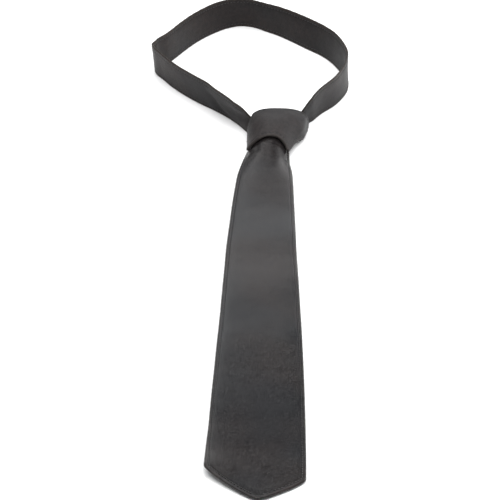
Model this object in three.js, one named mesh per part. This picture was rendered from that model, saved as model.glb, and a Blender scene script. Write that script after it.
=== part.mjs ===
// A tied leather necktie lying on a floor at z = 0. Millimetres, +Z up. The wide blade points along -Y,
// the knot stands behind its upper end, and the neck band stands on its edge in a loop behind the knot.
import * as THREE from 'three';

// Driving dimensions
const BLADE_THICKNESS = 2.4;      // two layers of leather, turned in and stitched
const BAND_THICKNESS = 1.6;
const WRAP_THICKNESS = 2.2;
const TURN_THICKNESS = 1.7;
const TAIL_THICKNESS = 2.0;
const CLEARANCE = 0.9;            // air between the two layers of the knot
const EDGE_ROUNDING = 0.45;       // how far a rounded edge stands out, as a share of the thickness
const BLADE_EDGE = EDGE_ROUNDING * BLADE_THICKNESS;
const BAND_EDGE = EDGE_ROUNDING * BAND_THICKNESS;
const BAND_WIDTH = 24.5;

// Corners of the blade's lower end; fullness above 1 swells the slope from there to the tip outward.
const LEFT_CORNER = { x: -42, y: -390.5, fullness: 1.2 };
const RIGHT_CORNER = { x: 22, y: -398.5, fullness: 1.35 };
const TIP = { x: -8.4, y: -419.2 };
const TIP_HALF_WIDTH = 2.0;

const KNOT_WIDEST_LEVEL = 4.6;    // height at which the knot's section is widest
const KNOT_FOOT_POWER = 0.56;     // below 1 the knot's underside is a box with rounded sides
const KNOT_FOOT_SINK = 0.6;       // depth of the knot's underside that its weight presses flat

const BLADE_STEPS = { along: 72, across: 12 };
const BAND_STEPS = { along: 112, across: 4 };
const TAIL_STEPS = { along: 28, across: 4 };
const WRAP_STEPS = { around: 52, along: 8 };
const TURN_STEPS = { around: 28, along: 7 };

// Front blade from its fold behind the knot to its lower end. y and z are the middle of the strip, left and
// right its edges, dropLeft and dropRight how far the edges lie under the middle, and squareness how flat
// the crown between them is.
const BLADE_ROWS = [
  { y: 17.0, z: 6.0, left: -4.0, right: 15.0, dropLeft: 0.0, dropRight: 0.0, squareness: 2.0 },
  { y: 24.5, z: 5.6, left: -4.5, right: 16.0, dropLeft: 0.0, dropRight: 0.0, squareness: 2.0 },
  { y: 30.5, z: 9.0, left: -4.5, right: 16.5, dropLeft: 0.0, dropRight: 0.0, squareness: 2.0 },
  { y: 25.0, z: 13.4, left: -5.0, right: 16.0, dropLeft: 0.8, dropRight: 0.8, squareness: 2.0 },
  { y: 16.0, z: 14.0, left: -7.5, right: 15.0, dropLeft: 3.0, dropRight: 3.0, squareness: 2.0 },
  { y: 6.0, z: 13.6, left: -10.8, right: 12.4, dropLeft: 7.0, dropRight: 7.0, squareness: 1.8 },
  { y: -1.0, z: 12.8, left: -12.6, right: 11.8, dropLeft: 10.4, dropRight: 10.4, squareness: 1.6 },
  { y: -8.5, z: 12.1, left: -14.6, right: 13.7, dropLeft: 10.6, dropRight: 10.8, squareness: 1.55 },
  { y: -12.5, z: 11.5, left: -16.2, right: 15.0, dropLeft: 10.2, dropRight: 10.4, squareness: 1.65 },
  { y: -22.0, z: 10.2, left: -18.6, right: 15.4, dropLeft: 9.0, dropRight: 9.0, squareness: 1.9 },
  { y: -42.5, z: 7.6, left: -22.3, right: 17.2, dropLeft: 6.4, dropRight: 6.4, squareness: 2.6 },
  { y: -82.0, z: 4.8, left: -25.8, right: 18.1, dropLeft: 3.6, dropRight: 3.6, squareness: 4.5 },
  { y: -134.0, z: 4.0, left: -29.3, right: 18.9, dropLeft: 2.8, dropRight: 2.8, squareness: 6.0 },
  { y: -208.0, z: 4.0, left: -32.8, right: 20.7, dropLeft: 2.8, dropRight: 2.8, squareness: 6.0 },
  { y: -278.0, z: 4.0, left: -36.4, right: 22.0, dropLeft: 2.8, dropRight: 2.8, squareness: 6.0 },
  { y: -322.0, z: 3.6, left: -38.7, right: 22.4, dropLeft: 2.4, dropRight: 2.4, squareness: 4.5 },
  { y: -345.0, z: 1.9, left: -39.8, right: 22.5, dropLeft: -0.4, dropRight: 0.6, squareness: 3.0 },
  { y: -366.0, z: 1.5, left: -41.0, right: 22.5, dropLeft: -2.6, dropRight: 0.2, squareness: 2.2 },
  { y: -390.5, z: 1.8, left: -42.0, right: 22.3, dropLeft: -5.0, dropRight: 0.5, squareness: 2.0 },
  { y: -419.2, z: 2.2, left: -42.8, right: 21.8, dropLeft: -6.0, dropRight: 1.0, squareness: 2.0 },
];

// Narrow tail under the front blade, from the knot to its point.
const TAIL_ROWS = [
  { y: 14.0, z: 3.6, left: -7.4, right: 7.0 },
  { y: 4.0, z: 3.5, left: -7.4, right: 7.0 },
  { y: -9.0, z: 1.95, left: -8.4, right: 7.4 },
  { y: -26.0, z: 1.15, left: -11.0, right: 8.4 },
  { y: -80.0, z: 1.0, left: -15.0, right: 8.0 },
  { y: -200.0, z: 1.0, left: -19.5, right: 7.0 },
  { y: -300.0, z: 1.0, left: -21.5, right: 6.0 },
  { y: -314.0, z: 1.0, left: -9.0, right: -6.5 },
];

// Neck band: x and y of its middle at the foot, outward lean in degrees, height of the foot and width.
const BAND_ROWS = [
  { x: -10.2, y: 16.5, lean: 0, foot: 3.2, width: 7.0 },
  { x: -11.9, y: 20.8, lean: 0, foot: 1.0, width: 11.4 },
  { x: -15.4, y: 25.8, lean: 6, foot: 0, width: 18.8 },
  { x: -21.0, y: 35.2, lean: 16, foot: 0, width: 23.5 },
  { x: -33.1, y: 50.0, lean: 15, foot: 0, width: BAND_WIDTH },
  { x: -41.4, y: 58.4, lean: 10.5, foot: 0, width: BAND_WIDTH },
  { x: -48.3, y: 64.3, lean: 8.5, foot: 0, width: BAND_WIDTH },
  { x: -58.7, y: 75.0, lean: 7.5, foot: 0, width: BAND_WIDTH },
  { x: -69.2, y: 88.4, lean: 7.5, foot: 0, width: BAND_WIDTH },
  { x: -77.0, y: 100.2, lean: 7, foot: 0, width: BAND_WIDTH },
  { x: -82.5, y: 109.4, lean: 5.5, foot: 0, width: BAND_WIDTH },
  { x: -81.2, y: 116.6, lean: 4, foot: 0, width: BAND_WIDTH },
  { x: -73.2, y: 126.8, lean: 5, foot: 0, width: BAND_WIDTH },
  { x: -61.8, y: 144.8, lean: 5.5, foot: 0, width: BAND_WIDTH },
  { x: -50.9, y: 159.6, lean: 5.5, foot: 0, width: BAND_WIDTH },
  { x: -40.2, y: 170.8, lean: 5, foot: 0, width: BAND_WIDTH },
  { x: -29.4, y: 178.7, lean: 1, foot: 0, width: BAND_WIDTH },
  { x: -18.2, y: 181.7, lean: -3.5, foot: 0, width: BAND_WIDTH },
  { x: -9.0, y: 179.3, lean: -3.5, foot: 0, width: BAND_WIDTH },
  { x: -1.5, y: 174.0, lean: -1, foot: 0, width: BAND_WIDTH },
  { x: 9.0, y: 166.3, lean: 3.5, foot: 0, width: BAND_WIDTH },
  { x: 19.7, y: 156.6, lean: 8, foot: 0, width: BAND_WIDTH },
  { x: 30.1, y: 146.2, lean: 10.5, foot: 0, width: BAND_WIDTH },
  { x: 40.6, y: 135.9, lean: 9, foot: 0, width: BAND_WIDTH },
  { x: 48.5, y: 125.1, lean: 8, foot: 0, width: BAND_WIDTH },
  { x: 54.6, y: 111.5, lean: 5.5, foot: 0, width: BAND_WIDTH },
  { x: 57.8, y: 100.5, lean: 3, foot: 0, width: BAND_WIDTH },
  { x: 59.3, y: 90.5, lean: -2.4, foot: 0, width: BAND_WIDTH },
  { x: 57.2, y: 79.0, lean: -3, foot: 0, width: BAND_WIDTH },
  { x: 49.4, y: 63.8, lean: 0.5, foot: 0, width: BAND_WIDTH },
  { x: 39.6, y: 51.3, lean: 4, foot: 0, width: BAND_WIDTH },
  { x: 31.6, y: 40.4, lean: 6, foot: 0, width: 23.5 },
  { x: 26.0, y: 32.8, lean: 5, foot: 1.2, width: 16.5 },
  { x: 20.9, y: 26.0, lean: 0, foot: 4.6, width: 6.4 },
  { x: 18.8, y: 18.5, lean: 0, foot: 5.2, width: 5.6 },
];

// Outer form of the knot across its width, from the mouth to its top. shoulder and crown are the powers of
// the cosine and the sine that draw its upper half: 1 and 2 give a parabola, 0.67 and 0.67 a rounded box.
const KNOT_ROWS = [
  { y: -11.0, left: -16.1, right: 16.8, height: 16.7, shoulder: 1.0, crown: 1.8 },
  { y: 0.0, left: -15.2, right: 20.1, height: 19.3, shoulder: 0.95, crown: 1.5 },
  { y: 6.0, left: -15.2, right: 23.3, height: 20.6, shoulder: 0.9, crown: 1.25 },
  { y: 11.0, left: -15.2, right: 25.9, height: 21.3, shoulder: 0.84, crown: 1.0 },
  { y: 18.0, left: -15.2, right: 28.0, height: 21.0, shoulder: 0.75, crown: 0.8 },
  { y: 26.0, left: -15.1, right: 29.6, height: 19.5, shoulder: 0.71, crown: 0.71 },
  { y: 32.0, left: -15.0, right: 31.2, height: 17.0, shoulder: 0.67, crown: 0.67 },
];

// Where the wrap begins at the mouth and ends at the top, in degrees round the knot from its right side
// over the crown to the left side and back along the floor.
const WRAP_ROWS = [
  { around: -90, mouth: 8.0, top: 17.0 },
  { around: -30, mouth: 12.5, top: 22.5 },
  { around: -8, mouth: 10.0, top: 25.6 },
  { around: 4, mouth: 1.5, top: 26.6 },
  { around: 11, mouth: -8.5, top: 26.8 },
  { around: 22, mouth: -12.0, top: 26.8 },
  { around: 42, mouth: -9.2, top: 26.6 },
  { around: 75, mouth: -6.6, top: 26.4 },
  { around: 105, mouth: -6.8, top: 26.0 },
  { around: 132, mouth: -7.8, top: 25.0 },
  { around: 154, mouth: -7.6, top: 19.0 },
  { around: 170, mouth: -7.8, top: 17.8 },
  { around: 180, mouth: -7.0, top: 17.6 },
  { around: 196, mouth: 4.5, top: 17.4 },
  { around: 270, mouth: 8.0, top: 17.0 },
];

// The same for the first turn, a short second layer inside the wrap's right side.
const TURN_ROWS = [
  { around: -52, mouth: 14.0, top: 22.0 },
  { around: -25, mouth: 14.0, top: 24.0 },
  { around: 0, mouth: 10.0, top: 25.5 },
  { around: 22, mouth: 1.5, top: 25.5 },
  { around: 48, mouth: 0.0, top: 23.0 },
  { around: 90, mouth: 3.5, top: 14.0 },
  { around: 112, mouth: 6.5, top: 11.0 },
];

// Value of one column of a table at a key, on a smooth curve that doesn't overshoot its rows.
function columnAt(rows, key, column, at) {
  const rising = rows[1][key] > rows[0][key];
  let i = 0;
  while (i < rows.length - 2 && (rising ? at > rows[i + 1][key] : at < rows[i + 1][key])) {
    i += 1;
  }
  const slope = (a, b) => (rows[b][column] - rows[a][column]) / (rows[b][key] - rows[a][key]);
  const slopeAt = (j) => {
    if (j === 0 || j === rows.length - 1) {
      return slope(Math.max(j - 1, 0), Math.min(j + 1, rows.length - 1));
    }
    const before = slope(j - 1, j);
    const after = slope(j, j + 1);
    return before * after > 0 ? (2 * before * after) / (before + after) : 0;
  };
  const span = rows[i + 1][key] - rows[i][key];
  const t = THREE.MathUtils.clamp((at - rows[i][key]) / span, 0, 1);
  const square = t * t;
  const cube = square * t;
  return (2 * cube - 3 * square + 1) * rows[i][column]
    + (cube - 2 * square + t) * span * slopeAt(i)
    + (3 * square - 2 * cube) * rows[i + 1][column]
    + (cube - square) * span * slopeAt(i + 1);
}

// A table whose rows follow each other along a path gets its row number as its key.
function numbered(rows) {
  return rows.map((row, index) => ({ ...row, index }));
}

// Signed volume of an indexed geometry, positive when its faces point out.
function signedVolume(points, triangles) {
  let volume = 0;
  for (let i = 0; i < triangles.length; i += 3) {
    const [a, b, c] = [0, 1, 2].map((corner) => points[triangles[i + corner]]);
    volume += a.dot(b.clone().cross(c)) / 6;
  }
  return volume;
}

// Closed solid through rings of points. Each ring starts at one long edge, follows one face, passes the
// other edge and comes back along the other face. The rings meet end to start, or both ends are capped.
function ringSolid(rings, closed) {
  const size = rings[0].length;
  const points = rings.flat();
  const triangles = [];
  const loops = closed ? rings.length : rings.length - 1;
  for (let ring = 0; ring < loops; ring += 1) {
    const here = ring * size;
    const next = ((ring + 1) % rings.length) * size;
    for (let i = 0; i < size; i += 1) {
      const j = (i + 1) % size;
      triangles.push(here + i, next + i, next + j, here + i, next + j, here + j);
    }
  }
  const capEnd = (first, forward) => {
    const addTriangle = (a, b, c) => {
      triangles.push(...(forward ? [first + a, first + b, first + c] : [first + a, first + c, first + b]));
    };
    const half = size / 2;
    addTriangle(0, 1, size - 1);
    for (let i = 1; i < half - 1; i += 1) {
      addTriangle(i, i + 1, size - i - 1);
      addTriangle(i, size - i - 1, size - i);
    }
    addTriangle(half - 1, half, half + 1);
  };
  if (!closed) {
    capEnd(0, true);
    capEnd((rings.length - 1) * size, false);
  }
  if (signedVolume(points, triangles) < 0) {
    triangles.reverse();
  }
  const geometry = new THREE.BufferGeometry().setFromPoints(points);
  geometry.setIndex(triangles);
  geometry.computeVertexNormals();
  return geometry;
}

// Solid of a leather strip. surface(along, across) is its middle for along 0 to 1 and across -1 to 1, and
// half the thickness lies on each side of it. The long edges are rounded and stand a little outside it.
function stripSolid(surface, steps, thickness) {
  const small = 1e-3;
  const rings = [];
  for (let i = 0; i <= steps.along; i += 1) {
    const along = i / steps.along;
    const before = Math.max(along - small, 0);
    const after = Math.min(along + small, 1);
    const front = [];
    const back = [];
    const edges = [];
    for (let j = 0; j <= steps.across; j += 1) {
      const across = (2 * j) / steps.across - 1;
      const lengthwise = surface(after, across).sub(surface(before, across));
      const left = Math.max(across - small, -1);
      const right = Math.min(across + small, 1);
      const crosswise = surface(along, right).sub(surface(along, left));
      const normal = crosswise.clone().cross(lengthwise).normalize().multiplyScalar(thickness / 2);
      const middle = surface(along, across);
      front.push(middle.clone().add(normal));
      back.unshift(middle.clone().sub(normal));
      if (j === 0 || j === steps.across) {
        const outward = crosswise.normalize().multiplyScalar((j === 0 ? -1 : 1) * EDGE_ROUNDING * thickness);
        edges.push(middle.add(outward));
      }
    }
    rings.push([edges[0], ...front, edges[1], ...back]);
  }
  return ringSolid(rings, false);
}

// Point on the knot's form at a place along it and round it, set in from the outside by the inset.
function knotPoint(y, around, inset) {
  const left = columnAt(KNOT_ROWS, 'y', 'left', y) + inset;
  const right = columnAt(KNOT_ROWS, 'y', 'right', y) - inset;
  const height = columnAt(KNOT_ROWS, 'y', 'height', y) - inset;
  const angle = THREE.MathUtils.degToRad(around);
  const above = Math.sin(angle) >= 0;
  const shoulder = above ? columnAt(KNOT_ROWS, 'y', 'shoulder', y) : KNOT_FOOT_POWER;
  const crown = above ? columnAt(KNOT_ROWS, 'y', 'crown', y) : KNOT_FOOT_POWER;
  const reach = above ? height - KNOT_WIDEST_LEVEL : KNOT_WIDEST_LEVEL + KNOT_FOOT_SINK - inset;
  const sideways = Math.sign(Math.cos(angle)) * Math.abs(Math.cos(angle)) ** shoulder;
  const upward = Math.sign(Math.sin(angle)) * Math.abs(Math.sin(angle)) ** crown;
  const x = (left + right) / 2 + (sideways * (right - left)) / 2;
  const z = Math.max(KNOT_WIDEST_LEVEL + reach * upward, inset);
  return new THREE.Vector3(x, y, z);
}

// Wall of leather on the knot's form between two edges that change round it.
function knotWall(rows, steps, inset, thickness, closed) {
  const first = rows[0].around;
  const sweep = rows[rows.length - 1].around - first;
  const rings = [];
  const ringCount = closed ? steps.around : steps.around + 1;
  for (let i = 0; i < ringCount; i += 1) {
    const around = first + (sweep * i) / steps.around;
    const mouth = columnAt(rows, 'around', 'mouth', around);
    const top = columnAt(rows, 'around', 'top', around);
    const rounding = EDGE_ROUNDING * thickness;
    const outside = [];
    const inside = [];
    for (let j = 0; j <= steps.along; j += 1) {
      const y = THREE.MathUtils.lerp(mouth, top, j / steps.along);
      outside.push(knotPoint(y, around, inset));
      inside.unshift(knotPoint(y, around, inset + thickness));
    }
    const mouthEdge = knotPoint(mouth - rounding, around, inset + thickness / 2);
    const topEdge = knotPoint(top + rounding, around, inset + thickness / 2);
    rings.push([mouthEdge, ...outside, topEdge, ...inside]);
  }
  return ringSolid(rings, closed);
}

// Edge of the blade's pointed end between one of its corners and the tip.
function pointOutline(corner, y, tipHalfWidth) {
  const share = THREE.MathUtils.clamp((y - corner.y) / (TIP.y - corner.y), 0, 1);
  return THREE.MathUtils.lerp(corner.x, TIP.x + tipHalfWidth, share ** corner.fullness);
}

// Front blade: crowned across, with the two corners and the point of its lower end cut from its width.
function frontBlade() {
  const rows = numbered(BLADE_ROWS);
  const path = new THREE.CatmullRomCurve3(rows.map((row) => new THREE.Vector3(0, row.y, row.z)));
  const surface = (along, across) => {
    const index = along * (rows.length - 1);
    const middle = path.getPoint(along);
    const direction = path.getTangent(along);
    const up = new THREE.Vector3(0, direction.z, -direction.y);
    const fullLeft = columnAt(rows, 'index', 'left', index) + BLADE_EDGE;
    const fullRight = columnAt(rows, 'index', 'right', index) - BLADE_EDGE;
    let left = fullLeft;
    let right = fullRight;
    if (middle.y < LEFT_CORNER.y) {
      left = pointOutline(LEFT_CORNER, middle.y, -TIP_HALF_WIDTH) + BLADE_EDGE;
    }
    if (middle.y < RIGHT_CORNER.y) {
      right = pointOutline(RIGHT_CORNER, middle.y, TIP_HALF_WIDTH) - BLADE_EDGE;
    }
    const drop = columnAt(rows, 'index', across < 0 ? 'dropLeft' : 'dropRight', index);
    const squareness = columnAt(rows, 'index', 'squareness', index);
    const x = THREE.MathUtils.lerp(left, right, (across + 1) / 2);
    const centre = (fullLeft + fullRight) / 2;
    const share = Math.abs(x - centre) / (fullRight - centre);
    middle.addScaledVector(up, -drop * share ** squareness);
    middle.x = x;
    return middle;
  };
  return stripSolid(surface, BLADE_STEPS, BLADE_THICKNESS);
}

// Tail: a flat narrow strip with a pointed end.
function tailBlade() {
  const rows = numbered(TAIL_ROWS);
  const surface = (along, across) => {
    const valueOf = (column) => columnAt(rows, 'index', column, along * (rows.length - 1));
    const x = THREE.MathUtils.lerp(valueOf('left'), valueOf('right'), (across + 1) / 2);
    return new THREE.Vector3(x, valueOf('y'), valueOf('z'));
  };
  return stripSolid(surface, TAIL_STEPS, TAIL_THICKNESS);
}

// Neck band: a strip on its edge round a loop, leaning out or in, narrower where it enters the knot.
function neckBand() {
  const rows = numbered(BAND_ROWS);
  const path = new THREE.CatmullRomCurve3(rows.map((row) => new THREE.Vector3(row.x, row.y, 0)));
  const up = new THREE.Vector3(0, 0, 1);
  const surface = (along, across) => {
    const index = along * (rows.length - 1);
    const outward = new THREE.Vector3().crossVectors(up, path.getTangent(along));
    const lean = THREE.MathUtils.degToRad(columnAt(rows, 'index', 'lean', index));
    const foot = columnAt(rows, 'index', 'foot', index);
    const width = columnAt(rows, 'index', 'width', index);
    const height = THREE.MathUtils.mapLinear(across, -1, 1, BAND_EDGE, width - BAND_EDGE);
    const point = path.getPoint(along);
    point.addScaledVector(outward, Math.sin(lean) * height);
    point.z = foot + Math.cos(lean) * height;
    return point;
  };
  return stripSolid(surface, BAND_STEPS, BAND_THICKNESS);
}

function leather(color, roughness) {
  return new THREE.MeshStandardMaterial({ color, roughness, metalness: 0 });
}

function piece(name, geometry, material) {
  const mesh = new THREE.Mesh(geometry, material);
  mesh.name = name;
  return mesh;
}

const blades = new THREE.Group();
blades.add(piece('front_blade', frontBlade(), leather(0x3b3a3b, 0.5)));
blades.add(piece('tail_blade', tailBlade(), leather(0x343334, 0.6)));

const knot = new THREE.Group();
const wrap = knotWall(WRAP_ROWS, WRAP_STEPS, 0, WRAP_THICKNESS, true);
const turn = knotWall(TURN_ROWS, TURN_STEPS, WRAP_THICKNESS + CLEARANCE, TURN_THICKNESS, false);
knot.add(piece('knot_wrap', wrap, leather(0x434142, 0.5)));
knot.add(piece('knot_turn', turn, leather(0x3f3d3e, 0.5)));

const neck = new THREE.Group();
neck.add(piece('neck_band', neckBand(), leather(0x363536, 0.55)));

// The origin is on the floor, under the middle of the whole tie.
const necktie = new THREE.Group();
necktie.add(blades, knot, neck);
const box = new THREE.Box3().setFromObject(necktie);
const middle = box.getCenter(new THREE.Vector3());
necktie.position.set(-middle.x, -middle.y, -box.min.z);

export default necktie;
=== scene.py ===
import math

import bpy
import numpy as np
from mathutils import Matrix, Vector
from mathutils.kdtree import KDTree


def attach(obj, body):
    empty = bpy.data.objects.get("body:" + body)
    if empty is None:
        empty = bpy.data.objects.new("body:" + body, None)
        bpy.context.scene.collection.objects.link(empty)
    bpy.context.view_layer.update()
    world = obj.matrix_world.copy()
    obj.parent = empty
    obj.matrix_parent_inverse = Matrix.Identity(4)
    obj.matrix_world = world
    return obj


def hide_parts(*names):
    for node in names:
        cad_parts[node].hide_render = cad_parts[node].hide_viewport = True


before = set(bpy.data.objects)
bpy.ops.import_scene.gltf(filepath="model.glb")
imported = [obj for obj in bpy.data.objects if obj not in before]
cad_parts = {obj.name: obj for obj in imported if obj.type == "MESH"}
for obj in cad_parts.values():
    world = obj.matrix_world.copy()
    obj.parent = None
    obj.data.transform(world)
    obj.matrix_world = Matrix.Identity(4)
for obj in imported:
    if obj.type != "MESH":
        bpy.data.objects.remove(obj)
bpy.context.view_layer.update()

# Sizes of the tie

# All tables and sizes of the tie are millimetres in its own coordinates, whose origin is on the floor at the
# mouth of the knot. MIDDLE is the middle of the tie's box there, which is the frame's origin.
MM = 0.001
MIDDLE = np.array([-12.744, -118.524, 0.0])

# Leather
BLADE_THICKNESS = 2.4
TAIL_THICKNESS = 2.0
BAND_THICKNESS = 1.6
WRAP_THICKNESS = 2.2
TURN_THICKNESS = 1.7
BAND_WIDTH = 24.5
CLEARANCE = 0.9            # air between the two layers of the knot
EDGE_SHARE = 0.45          # how far a rounded edge stands out, as a share of the thickness
EDGE_REACH = 1.1           # where its rounding ends, as a multiple of that
HEM_END = 8.0              # where the turned-in allowance ends, seen as a faint step
HEM_STEP = 0.16            # how much thinner the leather is beyond it
HEM_SOFTNESS = 0.9         # half the width of the step
SEAM_INSET = 2.6           # stitch line to edge
GROOVE_DEPTH = 0.09        # sink of each face along the stitch line
GROOVE_WIDTH = 0.5
DIMPLE_DEPTH = 0.1         # extra sink of each face at a needle hole
DIMPLE_WIDTH = 0.62

# Sewing
STITCH_PITCH = 2.6
STITCH_LENGTH = 2.05
STITCH_SLANT = 0.1         # sideways lean of a stitch, as a share of its length
STITCH_RINGS = 7           # rings of points along a stitch
STITCH_SIDES = 6           # points in each ring
THREAD_RADIUS = 0.23
THREAD_TAPER = 0.6         # radius at a stitch's ends, as a share of that at its middle
THREAD_LIFT = 0.16         # how far the thread is over the groove at the middle of a stitch
THREAD_SINK = 0.26         # how far it is under the groove at the stitch's ends

# The blade's pointed end
LEFT_CORNER = (-42.0, -390.5, 1.2)       # x, y and fullness of the slope from there to the tip
RIGHT_CORNER = (22.0, -398.5, 1.35)
CORNER_ROUND = 1.6         # how far along the blade the rounding of a corner goes to each side of it
CORNER_SAMPLES = 9         # places whose mean rounds a corner
TIP = (-8.4, -419.2)
TIP_HALF_WIDTH = 2.0       # how far from the tip's middle a slope would end if the tip weren't rounded
TIP_ROUND = 2.6            # length of the tip's rounding
TIP_ROWS = (TIP_ROUND, 2.1, 1.65, 1.25, 0.9, 0.6, 0.35, 0.16, 0.03)    # distances of its rows from the end

# The blade lies flatter across than its table says, away from the knot, where the leather is stiff
FLATTENING = 0.55                        # share of the drop that it loses
FLATTENING_RANGE = (-10.0, -52.0)        # y where the loss starts, and where it is whole

# The blade is lifted under the knot's mouth
PRESSED_GAP = 0.5                        # air that would be left under the wrap by a full lift
PRESSED_SHARE = 0.9                      # how much of a full lift it gets
PRESSED_FRONT = (-40.0, -11.5)           # y in front of the knot where the lift starts, and where it is whole
PRESSED_BACK = (7.0, 1.0)                # the same inside the knot
PRESSED_LEFT = (-1.0, -0.8)              # the same from the left, where the room's sides are at -1 and 1
BLADE_FALL = 0.137                       # slope of the lifted blade in front of the mouth

# The knot's form
KNOT_WIDEST_LEVEL = 4.6
KNOT_FOOT_POWER = 0.56     # shoulder and crown of the knot's table, for the part under that level
KNOT_FOOT_SINK = 0.6       # how far that part would reach under the floor if it weren't cut flat
KNOT_SPACING_Y = 15.0      # y at which the rows of a layer are evenly spaced
KNOT_SAMPLES = 2000        # angles at which the way round it is measured

# Distance between rows of points
BLADE_STEP = 0.85
TAIL_STEP = 1.0
BAND_STEP = 0.85
KNOT_STEP = 0.8
OUTLINE_STEP = 0.3         # between the points of an outline from which distances are measured
CURVE_SAMPLES = 200        # points between two rows of a table when the length of its curve is measured

# A row's points near an edge, by their distance from it: close together at the edge and the seam
NEAR_EDGE = (0, 0.03, 0.13, 0.3, 0.55, 0.85, 1.2, 1.65, 2.05, 2.35, 2.6, 2.85, 3.15, 3.6, 4.4, 5.6, 7.0)
EDGE_ROOM = 1.15           # they are squeezed where half the strip is less than this many times the last

# Points from there to the strip's middle
BLADE_INNER = 8
TAIL_INNER = 3
BAND_INNER = 3
KNOT_INNER = 5

ON_OUTLINE = 1e-6          # a point this near to the outline is on it
NO_LENGTH = 1e-9           # a vector's length is taken to be no less than this

# Unevenness of the leather: height, longest wave, number of waves and seed
BLADE_WAVES = ((0.12, 110, 5, 3), (0.012, 22, 8, 4))
TAIL_WAVES = ((0.05, 60, 5, 8),)
BAND_WAVES = ((0.1, 90, 5, 11), (0.03, 18, 8, 12))
WRAP_WAVES = ((0.12, 40, 6, 21),)
WRAP_WAVES_AROUND = (90, 90)             # angle where the wrap's are strongest, and its width
SHORTEST_WAVE = 0.35       # as a share of the longest

# The band's left leg folds lengthwise where it gathers into the knot
GATHER_DEPTH = 1.9
GATHER_HEIGHT = 11.0
GATHER_WIDTH = 4.0
GATHER_START = (4.6, 2.4)                # rows of the band's table where it starts, and where it is whole
GATHER_END = (0.4, 1.6)                  # the same at the knot

# Folds across the band: height outward, run of the band per row of its table, run of the fold per
# millimetre up the band, its place in that run and its width
LEG_FOLD = (-1.2, 12, 0.83, 44.6, 5.0)   # slanting down the left leg, towards the knot
LEG_FOLD_FOOT = (0.0, 5.0)               # heights where it starts at its foot, and where it is whole
LEG_FOLD_TOP = (20.0, 10.0)              # the same at its top
BAND_FOLDS = (
    (0.4, 13, 0.25, 401.7, 4.5),         # the ridge over which the right leg bends before the knot
    (-0.2, 13, 0.25, 390.0, 6.0),        # the hollow next to it, away from the knot
    (0.8, 10, 0.0, 104.0, 2.6),          # the ridge of the left turn
    (0.25, 11, 0.0, 182.6, 4.0),         # the slight kink at the back
)

# Soft pulls of the wrap from its right shoulder towards the left of the mouth: height, place and width along
# the slant, and the angle round the knot and its width
PULL_SLANT = 0.35
WRAP_PULLS = (
    (0.22, 22.0, 2.6, 60, 45),
    (-0.25, 17.5, 3.4, 70, 50),
)

# The wrap's right shoulder stands out fuller, with a flat crown up to it: height, angle and its width
WRAP_SHOULDER = ((1.0, 27.0, 11.0), (-0.3, 62.0, 12.0))
SHOULDER_FRONT = (3.0, 11.0)             # y where it starts, and where it is whole
SHOULDER_BACK = (25.0, 17.0)             # the same from behind


# Tables

def table(names, rows):
    """A table as a dict of columns, with the row number as one more column."""
    made = {name: np.array(values, float) for name, values in zip(names.split(), zip(*rows))}
    made["index"] = np.arange(len(rows), dtype=float)
    return made


# The blade starts inside the knot, folds over at its top and runs down to the tip. y and z are the strip's
# middle, left and right the x of its edges, and a drop is how far an edge lies under the middle. The bigger
# the squareness, the flatter the strip is before it drops.
BLADE = table("y z left right drop_left drop_right squareness", [
    (17.0, 6.0, -4.0, 15.0, 0.0, 0.0, 2.0),
    (24.5, 5.6, -4.5, 18.2, 0.0, 0.0, 2.0),
    (30.5, 9.0, -4.5, 19.0, 0.0, 0.0, 2.0),
    (25.0, 13.4, -5.0, 18.4, 0.8, 0.8, 2.0),
    (16.0, 14.0, -7.5, 15.0, 3.0, 3.0, 2.0),
    (6.0, 13.6, -10.8, 12.4, 7.0, 7.0, 1.8),
    (-1.0, 12.8, -12.6, 11.8, 10.4, 10.4, 1.6),
    (-8.5, 12.1, -14.0, 13.7, 9.0, 10.8, 1.55),
    (-12.5, 11.5, -15.5, 15.0, 8.3, 10.4, 1.65),
    (-22.0, 10.2, -17.9, 15.4, 7.0, 9.0, 1.9),
    (-42.5, 7.6, -21.9, 17.2, 5.2, 6.4, 2.6),
    (-82.0, 4.8, -25.8, 18.1, 3.6, 3.6, 4.5),
    (-134.0, 4.0, -29.3, 18.9, 2.8, 2.8, 6.0),
    (-208.0, 4.0, -32.8, 20.7, 2.8, 2.8, 6.0),
    (-278.0, 3.75, -36.4, 22.0, 2.8, 2.8, 6.0),
    (-322.0, 3.2, -38.7, 22.4, 2.4, 2.4, 4.5),
    (-345.0, 2.2, -39.8, 22.5, -0.4, 0.6, 3.0),
    (-366.0, 1.5, -41.0, 22.5, -2.6, 0.2, 2.2),
    (-390.5, 1.8, -42.0, 22.3, -5.0, 0.5, 2.0),
    (-419.2, 2.2, -42.8, 21.8, -6.0, 1.0, 2.0),
])

# The tail's columns are those of the blade. Its rounded edges stand out beyond left and right.
TAIL = table("y z left right", [
    (14.0, 3.6, -7.4, 7.0),
    (4.0, 3.5, -7.4, 7.0),
    (-9.0, 1.95, -8.4, 7.4),
    (-26.0, 1.15, -11.0, 8.4),
    (-80.0, 1.0, -15.0, 8.0),
    (-200.0, 1.0, -19.5, 7.0),
    (-300.0, 1.0, -21.5, 6.0),
    (-314.0, 1.0, -9.0, -6.5),
])

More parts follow.
